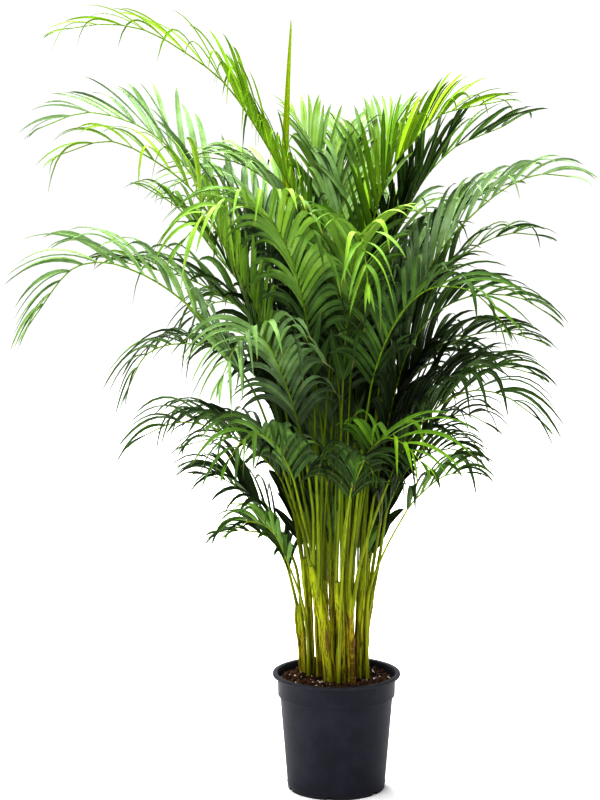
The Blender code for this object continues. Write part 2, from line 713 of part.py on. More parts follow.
def grow_leaflets(index, work, seats, taken):
    """Pull a leaflet out of each side face that has room for one; returns what they fill."""
    row = FRONDS[index]
    rng = random.Random(100 + index)
    own = []
    for order, (frame, faces) in enumerate(seats):
        part = order / max(1, len(seats) - 1)
        width = LEAF_WIDE * (1.0 - 0.40 * max(0.0, part - 0.45) / 0.55)
        for side in (-1, 1):
            corners = seat_corners(faces[side], frame)
            foot = sum(corners, Vector((0.0, 0.0, 0.0))) / 4
            chance = chances(rng)
            for change in TRIES:
                middle, tip, wide, thick = leaflet(
                    frame, foot, part, side, row[3], row[4], chance, change)
                thin = width * (0.55 + 0.45 * min(1.0, change[2] + 0.2))
                test = leaflet_shape(corners, middle, tip, wide, thick, thin, 0.0006)
                if tip.z < SOIL_TOP + 0.03:
                    continue
                if free(*test, taken, index) and free(*test, own, None):
                    break
            else:
                continue
            own.append((bounds_of(test[0], 0.0), BVHTree.FromPolygons(*test), index))
            shape = leaflet_shape(corners, middle, tip, wide, thick, thin, 0.0)[0]
            blade = pull(work, faces[side], list(zip(corners, shape[4:8])))
            draw_to_point(work, blade, tip)
    return own


def make_fronds(canes, taken, plant):
    lines = frond_lines({name: line for name, (line, _) in canes.items()})
    keep_apart(lines, list(canes.values()))
    axes = [axis_of(index, line) for index, line in enumerate(lines)]
    for index, (work, _) in enumerate(axes):
        points = [v.co for v in work.verts]
        taken.append((bounds_of(points, 0.0), BVHTree.FromBMesh(work), index))
    for index, (work, seats) in enumerate(axes):
        taken += grow_leaflets(index, work, seats, taken)
        start = lines[index][0]
        bmesh.ops.recalc_face_normals(work, faces=work.faces)
        bmesh.ops.translate(work, verts=work.verts, vec=-start)
        mesh = bpy.data.meshes.new("frond_%02d" % (index + 1))
        work.to_mesh(mesh)
        work.free()
        surface = "new_leaf" if FRONDS[index][4] == "spear" else "leaf_green"
        add_object(mesh.name, mesh, surface, plant, start)


def space_of_canes(plant):
    """What the canes fill, for keeping leaflets off them."""
    bpy.context.view_layer.update()
    depsgraph = bpy.context.evaluated_depsgraph_get()
    taken = []
    for item in plant.objects:
        if not item.name.startswith("cane"):
            continue
        mesh = item.evaluated_get(depsgraph).to_mesh()
        points = [item.matrix_world @ v.co for v in mesh.vertices]
        tree = BVHTree.FromPolygons(points, [tuple(f.vertices) for f in mesh.polygons])
        taken.append((bounds_of(points, 0.0), tree, None))
    return taken


def main():
    clear_file()
    plant = new_collection("potted_areca_palm")
    cutters = new_collection("cutters")
    make_pot(plant, cutters)
    make_soil(plant)
    canes = {}
    for name, (foot, head, radius) in CANES.items():
        canes[name] = make_cane(
            "cane_" + name[1:], foot, head, radius, HEAD_RADIUS, "cane_bark", plant)
    foot, head, radius = STUB
    canes["stub"] = make_cane("cane_stub", foot, head, radius, radius * 0.9, "dead_stub", plant)
    make_fronds(canes, space_of_canes(plant), plant)


main()
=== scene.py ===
"""Looks of an areca palm in a black nursery pot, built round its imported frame.

Metres, Z up, the pot's underside at the origin, -Y the front of the plant.
"""

import math
import random

import bmesh
import bpy
from mathutils import Matrix, Vector, noise


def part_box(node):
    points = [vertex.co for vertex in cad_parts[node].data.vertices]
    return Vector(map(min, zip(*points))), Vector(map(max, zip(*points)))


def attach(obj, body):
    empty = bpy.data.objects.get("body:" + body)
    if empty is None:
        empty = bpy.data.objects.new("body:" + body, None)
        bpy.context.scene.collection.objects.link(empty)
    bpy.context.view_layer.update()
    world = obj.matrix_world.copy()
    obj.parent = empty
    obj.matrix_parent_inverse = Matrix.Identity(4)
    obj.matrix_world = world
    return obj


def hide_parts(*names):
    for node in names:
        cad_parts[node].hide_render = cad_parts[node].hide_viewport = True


UP = Vector((0.0, 0.0, 1.0))
FRONT = Vector((0.0, -1.0, 0.0))
ZERO = Vector((0.0, 0.0, 0.0))

# Reading a frond's solid: corners joined, shortest edge at a tip, longest edge round a ring
WELD = 0.00002
TIP_REACH = 0.008
RING_EDGE = 0.0062
SPEAR_EDGE = 0.0140

# The unopened leaf
SPEAR = "frond_02"
SPEAR_LENGTH = 0.37
SPEAR_HALF = 0.0076

# A leaflet: its points, where its middle is, its length, width, fold and thickness
LEAF_POINTS = 9
MIDDLE_AT = 0.42
REACH = 0.94
SHORT = {1: 0.88, 6: 0.86, 18: 0.92}
NARROW = {1: 0.66, 4: 0.82, 17: 0.82, 29: 0.85}
OUTER_WIDTH = 1.06
INNER_WIDTH = 1.04
FOLD = 0.42
BLADE = 0.045

# How leaflets hang, as shares of their length, and turn, in radians
SAG = (0.02, 0.12)
LIMP_SAG = (0.25, 0.55)
LIMP_REACH = (0.60, 0.85)
SWAY = 0.03
ROLL = 0.65
TWIST = 0.8
FEW_LIMP = 0.08
LIMP = {1: 0.38, 25: 0.25, 34: 0.25, 3: 0.0, 6: 0.02, 4: 0.20, 17: 0.15}

# Leaflets added where two stand apart, closer together within the core, metres
CORE = 0.20
FILL_GAP = 0.046
WIDEST_GAP = 0.12
CORE_PITCH = 0.014
OUTER_PITCH = 0.028
SCATTER = 0.011

# Leaflets added low on the axis: pitch, run, lowest feet at the back and the front
INNER_STEP = 0.020
INNER_RUN = 0.36
INNER_LOW = 0.43
FRONT_LOW = 0.78
INNER_HALF = 0.0084

# A frond's axis: steps and sides, what its foot adds and how far up, its radius, its end's loss
AXIS_STEP = 0.011
AXIS_SIDES = 8
PETIOLE_FOOT = 0.0015
PETIOLE_RUN = 0.26
PETIOLE = 0.0025
PETIOLE_LOSS = 0.0016

# The middle of the crown, where leaves are painted darker as shade: its reach, height and half
# depth
CROWN_REACH = 0.19
CROWN_HEIGHT = 0.80
CROWN_DEPTH = 0.27

# Tone (0 deep green to 1 yellow-green), partly the frond's own colour and partly painted light and
# shade (lit fronds lighter, shaded ones darker), and painted sheen (0 none to 1 a pale painted
# highlight) of each frond
FROND_TONE_AND_PAINTED_LIGHT = {
    1: (0.64, 0.08), 2: (0.92, 0.00), 3: (0.36, 0.80), 4: (0.66, 0.20), 5: (0.50, 0.30),
    6: (0.42, 0.65), 7: (0.22, 0.15), 8: (0.20, 0.10), 9: (0.20, 0.20), 10: (0.12, 0.05),
    11: (0.18, 0.25), 12: (0.54, 0.30), 13: (0.32, 0.20), 14: (0.50, 1.00), 15: (0.36, 0.10),
    16: (0.20, 0.05), 17: (0.68, 0.08), 18: (0.34, 0.45), 19: (0.24, 0.20), 20: (0.16, 0.10),
    21: (0.16, 0.08), 22: (0.18, 0.12), 23: (0.12, 0.05), 24: (0.30, 0.05), 25: (0.34, 0.25),
    26: (0.66, 0.70), 27: (0.62, 0.65), 28: (0.40, 0.60), 29: (0.56, 0.10), 30: (0.22, 0.10),
    31: (0.58, 0.28), 32: (0.55, 0.32), 33: (0.34, 0.15), 34: (0.40, 0.25), 35: (0.40, 0.60),
    36: (0.60, 0.90), 37: (0.46, 0.60), 38: (0.22, 0.15), 39: (0.20, 0.10), 40: (0.52, 0.90),
    41: (0.16, 0.05), 42: (0.60, 0.95),
}

# How far some fronds' ends hang below their solids
HANG = {1: 0.040, 6: -0.045}

# Young stalks: where they stop, how near the middle they stand, their radius
YOUNG_TOP = 0.74
YOUNG_REACH = 0.15
YOUNG_RADIUS = 0.0019

# Canes
CANE_STEP = 0.0025
CANE_SIDES = 16
SHEATH_RISE = 0.055
STUB_RISE = 0.012
FOOT_SINK = 0.006
SCAR = 0.0016
SCALES = 3
STUB_SCALES = 2
SCALE_FOLD = -0.30
SCALE_THICK = 0.05
SHOOTS = 2
SHOOT_POINTS = 14
SCALE_POINTS = 7

# Pot
POT_STEPS = 192
CORNER_STEPS = 6
FLOOR_THICK = 0.0028
WALL = 0.0024
SHOULDER = 0.1057
RING_RADIUS = 0.0922
RING_HEIGHT = 0.0126
NOTCHES = 6
NOTCH_INSIDE = 0.0845
NOTCH_OUTSIDE = 0.0965
NOTCH_TOP = 0.013
NOTCH_BOTTOM = 0.018
NOTCH_HEIGHT = 0.0055

# Soil, with its crumbs and white grains to the square metre
SOIL_RINGS = 30
SOIL_STEPS = 128
CRUMBS = 14000.0
PERLITE = 3800.0
CRUMB_SIZE = 0.0052
GRAIN_SIZE = 0.0029

# Studio: each light's name, place, what it faces, size and power
LIGHTS = [
    ("top_light", (-0.6, -0.6, 4.6), (0.0, 0.0, 0.9), 1.8, 360.0),
    ("front_light", (-2.2, -3.4, 2.2), (0.0, 0.0, 0.7), 2.0, 75.0),
    ("back_light", (-0.8, 2.6, 4.4), (0.0, 0.0, 0.9), 1.8, 330.0),
]
SURROUND = 1.08
FLOOR_SIZE = 160.0
CONTRAST = 0.70

# Camera: its place, how far it looks down in degrees, its lens and sensor in millimetres
CAMERA_PLACE = (-0.0685, -4.2, 1.32)
CAMERA_DROP = 7.9
LENS = 103.2
SENSOR = 36.0


class Sock:
    """A node's output, which adds, subtracts and multiplies like a number."""

    def __init__(self, tree, socket):
        self.tree = tree
        self.socket = socket

    def __add__(self, other):
        return self.tree.maths("ADD", self, other)

    def __radd__(self, other):
        return self.tree.maths("ADD", other, self)

    def __sub__(self, other):
        return self.tree.maths("SUBTRACT", self, other)

    def __rsub__(self, other):
        return self.tree.maths("SUBTRACT", other, self)

    def __mul__(self, other):
        return self.tree.maths("MULTIPLY", self, other)

    def __rmul__(self, other):
        return self.tree.maths("MULTIPLY", other, self)


class Tree:
    """A node tree being built, of a material or of geometry."""

    def __init__(self, tree, material=None):
        self.tree = tree
        self.material = material

    def node(self, kind, settings=None, inputs=None, output=0):
        made = self.tree.nodes.new(kind)
        for name, value in (settings or {}).items():
            if name == "stops":
                self._stops(made.color_ramp, value)
            else:
                setattr(made, name, value)
        for name, value in (inputs or {}).items():
            values = value if isinstance(value, list) else [value]
            for one in values:
                if isinstance(one, Sock):
                    self.tree.links.new(one.socket, made.inputs[name])
                else:
                    made.inputs[name].default_value = one
        if not made.outputs:
            return None
        return Sock(self, made.outputs[output])

    def _stops(self, ramp, stops):
        while len(ramp.elements) < len(stops):
            ramp.elements.new(0.5)
        for element, (place, colour) in zip(ramp.elements, stops):
            element.position = place
            element.color = (*colour, 1.0)

    def maths(self, operation, *values):
        return self.node("ShaderNodeMath", {"operation": operation}, dict(enumerate(values)))

    def vector(self, operation, inputs, output=0):
        return self.node("ShaderNodeVectorMath", {"operation": operation}, inputs, output)

    def compare(self, operation, one, two):
        settings = {"data_type": "FLOAT", "operation": operation}
        return self.node("FunctionNodeCompare", settings, {0: one, 1: two})

    def mix(self, share, one, two):
        """Colour one where share is 0 and colour two where it is 1."""
        one = one if isinstance(one, Sock) else (*one, 1.0)
        two = two if isinstance(two, Sock) else (*two, 1.0)
        settings = {"data_type": "RGBA", "clamp_factor": True}
        return self.node("ShaderNodeMix", settings, {0: share, 6: one, 7: two}, 2)

    def between(self, value, low, high, start=0.0, end=1.0):
        """The value carried smoothly from low..high to start..end."""
        settings = {"interpolation_type": "SMOOTHSTEP"}
        inputs = {0: value, 1: low, 2: high, 3: start, 4: end}
        return self.node("ShaderNodeMapRange", settings, inputs)

    def laid(self, base, colour, *rise):
        """A colour laid over the base, as much as between() says."""
        return self.mix(self.between(*rise), base, colour)

    def noise(self, where, scale, detail=3.0, rough=0.55):
        inputs = {"Vector": where, "Scale": scale, "Detail": detail, "Roughness": rough}
        return self.node("ShaderNodeTexNoise", None, inputs)

    def fibres(self, where, share, scale, detail, rough=0.55):
        """Noise drawn out upwards: its height is scaled by share."""
        size = (1.0, 1.0, share)
        drawn = self.node("ShaderNodeMapping", None, {"Vector": where, "Scale": size})
        return self.noise(drawn, scale, detail, rough)

    def attribute(self, name):
        return self.node("ShaderNodeAttribute", {"attribute_name": name}, None, 2)

    def painted(self, geometry, material):
        inputs = {"Geometry": geometry, "Material": material}
        return self.node("GeometryNodeSetMaterial", None, inputs)

    def hand_out(self, parts):
        """Ends a geometry tree: joins its parts and makes their instances real."""
        joined = self.node("GeometryNodeJoinGeometry", None, {"Geometry": parts})
        real = self.node("GeometryNodeRealizeInstances", None, {"Geometry": joined})
        self.node("NodeGroupOutput", None, {"Geometry": real})


def new_group(name, numbers):
    """A geometry tree with these named inputs, and the sockets that they arrive on."""
    group = bpy.data.node_groups.new(name, "GeometryNodeTree")
    face = group.interface
    face.new_socket("Geometry", in_out="INPUT", socket_type="NodeSocketGeometry")
    for number in numbers:
        face.new_socket(number, in_out="INPUT", socket_type="NodeSocketFloat")
    face.new_socket("Geometry", in_out="OUTPUT", socket_type="NodeSocketGeometry")
    tree = Tree(group)
    source = group.nodes.new("NodeGroupInput")
    return group, tree, {socket.name: Sock(tree, socket) for socket in source.outputs}


def new_material(name):
    """A new material's tree, and the place on the object."""
    material = bpy.data.materials.new(name)
    material.use_nodes = True
    material.node_tree.nodes.clear()
    tree = Tree(material.node_tree, material)
    return tree, tree.node("ShaderNodeTexCoord", None, None, 3)


def surface(tree, colour, roughness, height=None, depth=0.0, shine=0.5):
    """Ends a material with its surface, its bumps and its shine."""
    inputs = {"Base Color": colour, "Roughness": roughness, "Specular IOR Level": shine}
    if height is not None:
        bump = {"Height": height, "Distance": depth, "Strength": 1.0}
        inputs["Normal"] = tree.node("ShaderNodeBump", None, bump)
    shader = tree.node("ShaderNodeBsdfPrincipled", None, inputs)
    tree.node("ShaderNodeOutputMaterial", None, {"Surface": shader})
    return tree.material


def height_of(tree, place):
    return tree.node("ShaderNodeSeparateXYZ", None, {0: place}, 2)


def leaf_material():
    """Leaf blade: deep to yellow green, partly as painted light and shade, a pale painted sheen,
    fine veins, a paler midrib, dry tips; leaves deep in the crown get painted shade.
    """
    tree, place = new_material("leaf_blade")
    tone = tree.attribute("tone")
    bloom = tree.attribute("bloom")
    shade = tree.attribute("shade")
    along = tree.attribute("along")
    across = tree.attribute("across")
    cloud = tree.noise(place, 22.0, 3.0)
    mottle = tree.noise(place, 160.0, 2.0)
    # The frond's tone carries painted light and shade, and the shade value is lowered deep in the
    # crown as painted shade.
    lit = tone + (shade - 0.5) * 0.34 + (cloud - 0.5) * 0.36 - along * 0.06
    stops = [
        (0.0, (0.007, 0.023, 0.001)),
        (0.22, (0.030, 0.082, 0.002)),
        (0.48, (0.110, 0.225, 0.003)),
        (0.72, (0.225, 0.370, 0.004)),
        (1.0, (0.380, 0.480, 0.010)),
    ]
    green = tree.node("ShaderNodeValToRGB", {"stops": stops}, {0: lit})
    # Painted sheen: a pale grey-green laid in patches over the leaves, standing in for the glossy
    # reflection of the overhead light.
    painted_sheen_share = bloom * tree.between(cloud, 0.30, 0.68, 0.35, 1.0) * (0.78 + shade * 0.35)
    green = tree.mix(painted_sheen_share * 0.82, green, (0.330, 0.445, 0.290))
    vein = tree.maths("SINE", across * 34.0)
    green = tree.mix((vein + 1.0) * 0.055, green, (0.008, 0.030, 0.002))
    rib = tree.maths("ABSOLUTE", across)
    green = tree.laid(green, (0.230, 0.330, 0.030), rib, 0.02, 0.13, 0.42, 0.0)
    green = tree.mix((mottle - 0.42) * 0.35, green, (0.120, 0.190, 0.012))
    dry = tree.between(along + mottle * 0.10, 0.985, 1.06, 0.0, 0.85)
    green = tree.mix(dry, green, (0.330, 0.190, 0.060))
    rough = 0.36 + mottle * 0.16 + cloud * 0.08
    return surface(tree, green, rough, vein * 0.5 + mottle, 0.00016, 0.11)


def petiole_material():
    """Petiole and rachis: yellow and olive low down, fresh green above, with faint dark flecks;
    lighter on fronds given brighter painted light.
    """
    tree, place = new_material("petiole_skin")
    high = height_of(tree, place)
    tone = tree.attribute("tone")
    shade = tree.attribute("shade")
    grain = tree.fibres(place, 0.08, 420.0, 3.0)
    patch = tree.noise(place, 16.0, 2.0)
    rise = tree.between(high + (patch - 0.5) * 0.22, 0.34, 1.10)
    stops = [
        (0.0, (0.260, 0.275, 0.004)),
        (0.30, (0.200, 0.275, 0.003)),
        (0.65, (0.160, 0.270, 0.003)),
        (1.0, (0.110, 0.225, 0.004)),
    ]
    skin = tree.node("ShaderNodeValToRGB", {"stops": stops}, {0: rise})
    skin = tree.mix(shade * 0.80, skin, (0.060, 0.105, 0.002))
    # The frond's tone, partly painted light and shade, makes its stalk lighter or darker.
    skin = tree.mix(tone * 0.30, skin, (0.230, 0.330, 0.008))
    streak = tree.fibres(place, 0.03, 260.0, 2.0)
    skin = tree.laid(skin, (0.040, 0.062, 0.001), streak, 0.46, 0.66, 0.0, 0.55)
    skin = tree.laid(skin, (0.260, 0.300, 0.012), grain, 0.56, 0.74, 0.0, 0.6)
    fleck = tree.fibres(place, 0.35, 900.0, 1.0)
    skin = tree.laid(skin, (0.060, 0.040, 0.012), fleck, 0.70, 0.78, 0.0, 0.5)
    return surface(tree, skin, 0.34 + grain * 0.2, grain, 0.0002, shine=0.18)


def cane_material():
    """Cane: olive and ochre, brown scurf in patches, a pale scar under each ring."""
    tree, place = new_material("cane_bark")
    ring = tree.attribute("ring")
    shade = tree.attribute("shade")
    along = tree.attribute("along")
    fibre = tree.fibres(place, 0.06, 520.0, 4.0, 0.65)
    patch = tree.fibres(place, 0.45, 62.0, 4.0, 0.62)
    base = tree.mix(shade, (0.330, 0.360, 0.006), (0.400, 0.270, 0.016))
    base = tree.laid(base, (0.290, 0.350, 0.004), along, 0.35, 1.0)
    base = tree.laid(base, (0.050, 0.048, 0.003), fibre, 0.44, 0.62, 0.0, 0.75)
    scurf = tree.between(patch - along * 0.16 + shade * 0.17, 0.56, 0.66)
    base = tree.mix(scurf * 0.80, base, (0.085, 0.038, 0.009))
    base = tree.laid(base, (0.300, 0.215, 0.060), ring, 0.30, 0.95, 0.0, 0.7)
    fleck = tree.noise(place, 1300.0, 2.0)
    base = tree.laid(base, (0.045, 0.022, 0.010), fleck, 0.62, 0.72, 0.0, 0.6)
    rough = 0.50 + fibre * 0.25 + scurf * 0.15
    return surface(tree, base, rough, fibre + scurf * 0.8, 0.0004, shine=0.18)


def sheath_material():
    """Dry sheaths on the canes: papery tan to dark brown, ribbed along their length."""
    tree, place = new_material("dry_sheath")
    shade = tree.attribute("shade")
    along = tree.attribute("along")
    fibre = tree.fibres(place, 0.05, 800.0, 4.0, 0.7)
    cloud = tree.noise(place, 70.0, 3.0)
    base = tree.mix(shade, (0.225, 0.165, 0.022), (0.110, 0.050, 0.012))
    base = tree.laid(base, (0.280, 0.190, 0.055), fibre, 0.42, 0.66, 0.0, 0.6)
    base = tree.laid(base, (0.060, 0.026, 0.012), cloud + along * 0.3, 0.55, 0.85, 0.0, 0.75)
    return surface(tree, base, 0.62 + fibre * 0.25, fibre, 0.0004, shine=0.25)


def plastic_material():
    """Moulded black plastic with a blue cast: fine grain, dust in the hollows, small dark drops, a
    painted highlight along the lip's top.
    """
    tree, place = new_material("pot_plastic")
    high = height_of(tree, place)
    grain = tree.noise(place, 1500.0, 2.0)
    cloud = tree.noise(place, 26.0, 4.0, 0.6)
    drops = tree.node("ShaderNodeTexVoronoi", {"feature": "F1"}, {"Vector": place, "Scale": 130.0})
    speck = tree.noise(place, 900.0, 1.0)
    base = tree.laid((0.0080, 0.0088, 0.0168), (0.0150, 0.0162, 0.0275), cloud, 0.34, 0.72)
    base = tree.laid(base, (0.0035, 0.0038, 0.0060), drops, 0.10, 0.16, 0.55, 0.0)
    base = tree.laid(base, (0.090, 0.088, 0.084), speck, 0.70, 0.77, 0.0, 0.55)
    # Painted highlight: the top of the lip is laid lighter in patches, standing in for the light
    # catching it.
    lip = tree.between(high, 0.2150, 0.2215, 0.0, 0.30)
    base = tree.mix(lip * tree.between(cloud, 0.3, 0.7, 0.4, 1.0), base, (0.070, 0.072, 0.080))
    foot = tree.between(high + (cloud - 0.5) * 0.02, 0.002, 0.016, 0.22, 0.0)
    base = tree.mix(foot, base, (0.050, 0.045, 0.040))
    rough = 0.37 + cloud * 0.16 + grain * 0.08
    return surface(tree, base, rough, grain * 0.6 + cloud * 0.6, 0.00080, shine=0.22)


def soil_material(name, dark, light, scale):
    """Peat and bark: brown to nearly black, damp in places."""
    tree, place = new_material(name)
    crumb = tree.noise(place, scale, 4.0, 0.7)
    cloud = tree.noise(place, 60.0, 2.0)
    base = tree.laid(dark, light, crumb, 0.36, 0.68)
    base = tree.laid(base, (0.090, 0.042, 0.020), cloud, 0.45, 0.75, 0.0, 0.5)
    return surface(tree, base, 0.72 + crumb * 0.24, crumb, 0.0008, shine=0.2)


def perlite_material():
    """White grains, dusty brown in their pits."""
    tree, place = new_material("perlite")
    pits = tree.noise(place, 900.0, 3.0, 0.65)
    base = tree.laid((0.780, 0.760, 0.700), (0.300, 0.220, 0.150), pits, 0.44, 0.68)
    return surface(tree, base, 0.80 + pits * 0.1, pits, 0.0005)


def floor_material():
    """Plain matt floor, very slightly uneven in its whiteness."""
    tree, place = new_material("pale_floor")
    cloud = tree.noise(place, 1.5, 2.0)
    base = tree.mix(cloud, (0.93, 0.93, 0.93), (0.95, 0.95, 0.95))
    return surface(tree, base, 0.6 + cloud * 0.1)


def smooth_path(knots, step):
    """Points about a step apart along a smooth curve through the knots."""
    times = [0.0]
    for one, two in zip(knots, knots[1:]):
        times.append(times[-1] + max((two - one).length, 1e-6))
    slopes = []
    for at in range(len(knots)):
        low = max(at - 1, 0)
        high = min(at + 1, len(knots) - 1)
        slopes.append((knots[high] - knots[low]) / (times[high] - times[low]))
    points = [knots[0].copy()]
    for at in range(len(knots) - 1):
        span = times[at + 1] - times[at]
        count = max(1, round(span / step))
        for part in range(1, count + 1):
            t = part / count
            points.append(
                knots[at] * (2 * t ** 3 - 3 * t ** 2 + 1)
                + slopes[at] * span * (t ** 3 - 2 * t ** 2 + t)
                + knots[at + 1] * (3 * t ** 2 - 2 * t ** 3)
                + slopes[at + 1] * span * (t ** 3 - t ** 2)
            )
    return points


def heading(points, at, reach=1):
    """The way that a line runs past one of its points."""
    return points[min(at + reach, len(points) - 1)] - points[max(at - reach, 0)]


def mean(points):
    return sum(points, ZERO.copy()) / len(points)


class Guide:
    """Polylines with their widths and facings, which a node tree sweeps into blades and bars."""

    def __init__(self, tone=0.5, bloom=0.0):
        self.points = []
        self.edges = []
        self.faces = []
        names = ("half", "along", "shade", "ring", "kind", "tone", "bloom")
        self.rows = {name: [] for name in names}
        self.tone = tone
        self.bloom = bloom

    def line(self, points, halves, faces, kind, shade=0.5, rings=None):
        first = len(self.points)
        count = len(points)
        self.points += points
        self.edges += [(first + at, first + at + 1) for at in range(count - 1)]
        self.faces += faces
        self.rows["half"] += halves
        self.rows["along"] += [at / (count - 1) for at in range(count)]
        self.rows["ring"] += rings or [0.0] * count
        steady = {"shade": shade, "kind": float(kind), "tone": self.tone, "bloom": self.bloom}
        for name, value in steady.items():
            self.rows[name] += [value] * count

    def mesh(self, name):
        mesh = bpy.data.meshes.new(name)
        mesh.from_pydata(self.points, self.edges, [])
        for key, values in self.rows.items():
            layer = mesh.attributes.new(key, "FLOAT", "POINT")
            layer.data.foreach_set("value", values)
        layer = mesh.attributes.new("face", "FLOAT_VECTOR", "POINT")
        layer.data.foreach_set("vector", [c for face in self.faces for c in face])
        return mesh


BLADE_KIND = 0
BAR_KIND = 1


def sweep_tree(blade, bar, sides):
    """Sweeps each guide line: kind 0 with a folded blade section, kind 1 with a round one."""
    name = "sweep_" + blade.name + "_" + bar.name
    group, tree, given = new_group(name, ("Fold", "Blade Thickness"))

    def named(name, kind="FLOAT"):
        return tree.node("GeometryNodeInputNamedAttribute", {"data_type": kind}, {"Name": name})

    def point(x, y):
        return tree.node("ShaderNodeCombineXYZ", None, {0: x, 1: y})

    def swept(lines, section, material):
        across = tree.node("GeometryNodeInputPosition")
        across = tree.node("ShaderNodeSeparateXYZ", None, {0: across}, 1)
        section = tree.node(
            "GeometryNodeStoreNamedAttribute", {"data_type": "FLOAT", "domain": "POINT"},
            {"Geometry": section, "Name": "across", "Value": across})
        inputs = {"Curve": lines, "Profile Curve": section}
        inputs.update({"Scale": named("half"), "Fill Caps": True})
        return tree.painted(tree.node("GeometryNodeCurveToMesh", None, inputs), material)

    lines = tree.node("GeometryNodeMeshToCurve", None, {"Mesh": given["Geometry"]})
    lines = tree.node("GeometryNodeSetCurveNormal", {"mode": "FREE"},
                      {"Curve": lines, "Normal": named("face", "FLOAT_VECTOR")})
    is_bar = tree.compare("GREATER_THAN", named("kind"), 0.5)
    settings = {"domain": "CURVE"}
    inputs = {"Geometry": lines, "Selection": is_bar}
    bars = tree.node("GeometryNodeSeparateGeometry", settings, inputs, 0)
    blades = tree.node("GeometryNodeSeparateGeometry", settings, inputs, 1)
    fold = given["Fold"]
    thick = given["Blade Thickness"]
    section = tree.node("GeometryNodeCurvePrimitiveQuadrilateral", {"mode": "POINTS"}, {
        "Point 1": point(0.0, 1.0), "Point 2": point(0.0 - fold - thick, 0.0),
        "Point 3": point(0.0, -1.0), "Point 4": point(thick - fold, 0.0)})
    ring = tree.node("GeometryNodeCurvePrimitiveCircle", None, {"Resolution": sides, "Radius": 1.0})
    tree.hand_out([swept(blades, section, blade), swept(bars, ring, bar)])
    return group


def linked(name, data):
    item = bpy.data.objects.new(name, data)
    bpy.context.scene.collection.objects.link(item)
    return item


def bake_modifiers(item):
    """Makes what an object's modifiers show its plain mesh."""
    bpy.context.view_layer.update()
    seen = item.evaluated_get(bpy.context.evaluated_depsgraph_get())
    made = bpy.data.meshes.new_from_object(seen)
    item.modifiers.clear()
    item.data = made


def shade_by_angle(item, degrees):
    item.data.shade_smooth()
    item.data.set_sharp_from_angle(angle=math.radians(degrees))


def through_nodes(mesh, group, name, values, sharp):
    """The mesh that a node tree makes of another one, as a plain object at the origin."""
    item = linked(name, mesh)
    modifier = item.modifiers.new("nodes", "NODES")
    modifier.node_group = group
    for socket in group.interface.items_tree:
        if socket.in_out == "INPUT" and socket.name in values:
            modifier[socket.identifier] = values[socket.name]
    bake_modifiers(item)
    item.data.name = name
    shade_by_angle(item, sharp)
    return item


def merged(node):
    """A copy of a solid's mesh with its corners joined."""
    work = bmesh.new()
    work.from_mesh(node.data)
    bmesh.ops.remove_doubles(work, verts=work.verts, dist=WELD)
    work.verts.index_update()
    return work


def leaflet_tips(work):
    """Corners where four long edges meet: the points of the leaflets."""
    found = []
    for corner in work.verts:
        if len(corner.link_edges) != 4:
            continue
        if min(edge.calc_length() for edge in corner.link_edges) > TIP_REACH:
            found.append(corner)
    return found


def around(corner):
    return [edge.other_vert(corner) for edge in corner.link_edges]


def axis_rings(work, used, short):
    """The centres of the rings of the frond's axis, from foot to end."""
    free = [v for v in work.verts if v not in used]
    ends = [v for v in free if len(v.link_edges) == 3
            and min(edge.calc_length() for edge in v.link_edges) > TIP_REACH]
    owner = {v: v for v in free if v not in ends}
    free = owner.copy()

    def root(v):
        while owner[v] is not v:
            v = owner[v]
        return v

    for edge in work.edges:
        one, two = edge.verts
        if one in free and two in free and edge.calc_length() < short:
            owner[root(one)] = root(two)
    rings = {}
    for v in free:
        rings.setdefault(root(v), []).append(v)
    links = {key: {} for key in rings}
    for edge in work.edges:
        one, two = edge.verts
        if one in free and two in free and root(one) is not root(two):
            links[root(one)][root(two)] = True
            links[root(two)][root(one)] = True
    centres = {key: mean([v.co for v in members]) for key, members in rings.items()}
    here = min(centres, key=lambda key: centres[key].z)
    order = [here]
    seen = {here}
    while True:
        onward = [key for key in links[order[-1]] if key not in seen]
        if not onward:
            break
        here = min(onward, key=lambda key: (centres[key] - centres[order[-1]]).length)
        order.append(here)
        seen.add(here)
    places = [centres[key] for key in order]
    if ends:
        places.append(ends[0].co.copy())
    return places


class Leaflet:
    """One leaflet: its foot, middle and tip, its half width and the way it widens."""

    def __init__(self, foot, middle, tip, half, wide, at=0, side=1):
        self.foot = foot
        self.middle = middle
        self.tip = tip
        self.half = half
        self.wide = wide
        self.at = at
        self.side = side

    def shorten(self, share):
        self.tip = self.foot.lerp(self.tip, share)
        self.middle = self.foot.lerp(self.middle, share)

    def near(self, other, share, shift):
        """A leaflet between this one and the next."""
        return Leaflet(
            self.foot.lerp(other.foot, share), self.middle.lerp(other.middle, share) + shift * 0.4,
            self.tip.lerp(other.tip, share) + shift, (self.half + other.half) / 2,
            (self.wide + other.wide).normalized(), (self.at + other.at) // 2, self.side)


def read_frond(node):
    """A CAD frond's axis and leaflets."""
    work = merged(node)
    tips = leaflet_tips(work)
    used = set(tips)
    leaflets = []
    for tip in tips:
        mids = around(tip)
        used.update(mids)
        partner = min(mids[1:], key=lambda v: (v.co - mids[0].co).length)
        others = [v for v in mids if v is not mids[0] and v is not partner]
        near = mean([mids[0].co, partner.co])
        far = mean([v.co for v in others])
        feet = {v for mid in mids for v in around(mid)} - set(mids) - {tip}
        foot = mean([v.co for v in sorted(feet, key=lambda v: v.index)])
        wide = (far - near).normalized()
        leaflets.append(Leaflet(foot, mean([v.co for v in mids]), tip.co.copy(),
                                (far - near).length / 2, wide))
    short = SPEAR_EDGE if node.name.startswith(SPEAR) else RING_EDGE
    places = axis_rings(work, used, short)
    work.free()
    return places, leaflets


